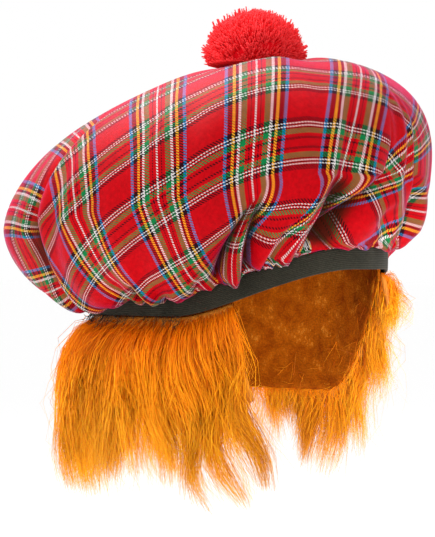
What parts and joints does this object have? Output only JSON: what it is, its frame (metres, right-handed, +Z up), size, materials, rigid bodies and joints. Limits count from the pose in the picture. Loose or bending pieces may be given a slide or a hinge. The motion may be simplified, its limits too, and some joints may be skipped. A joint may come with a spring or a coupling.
{
  "type": "tam o shanter hat with hair",
  "caption": "Gathered tartan tam o shanter with a dark band, a wool pompom on top and a ginger faux-fur hair piece round the sides and back, open over the face.",
  "frame": {"origin": "middle of the head opening, at the mean height of the band's lower edge", "axes": "+Z up along the wearer's head; the face looks along -Y; +X is the wearer's left"},
  "size_m": [0.2619, 0.2639, 0.3014],
  "materials": {
    "tartan_cloth": "twill-woven red tartan with a soft sheen",
    "dark_binding": "matt ribbed binding",
    "red_wool": "cut yarn",
    "knitted_backing": "matt knitted ground",
    "ginger_pile": "long glossy faux-fur pile"
  },
  "bodies": {
    "root": {"crown": "tartan_cloth", "band": "dark_binding", "pompom": "red_wool", "hair_backing": "knitted_backing", "hair_pile": "ginger_pile"}
  },
  "joints": []
}
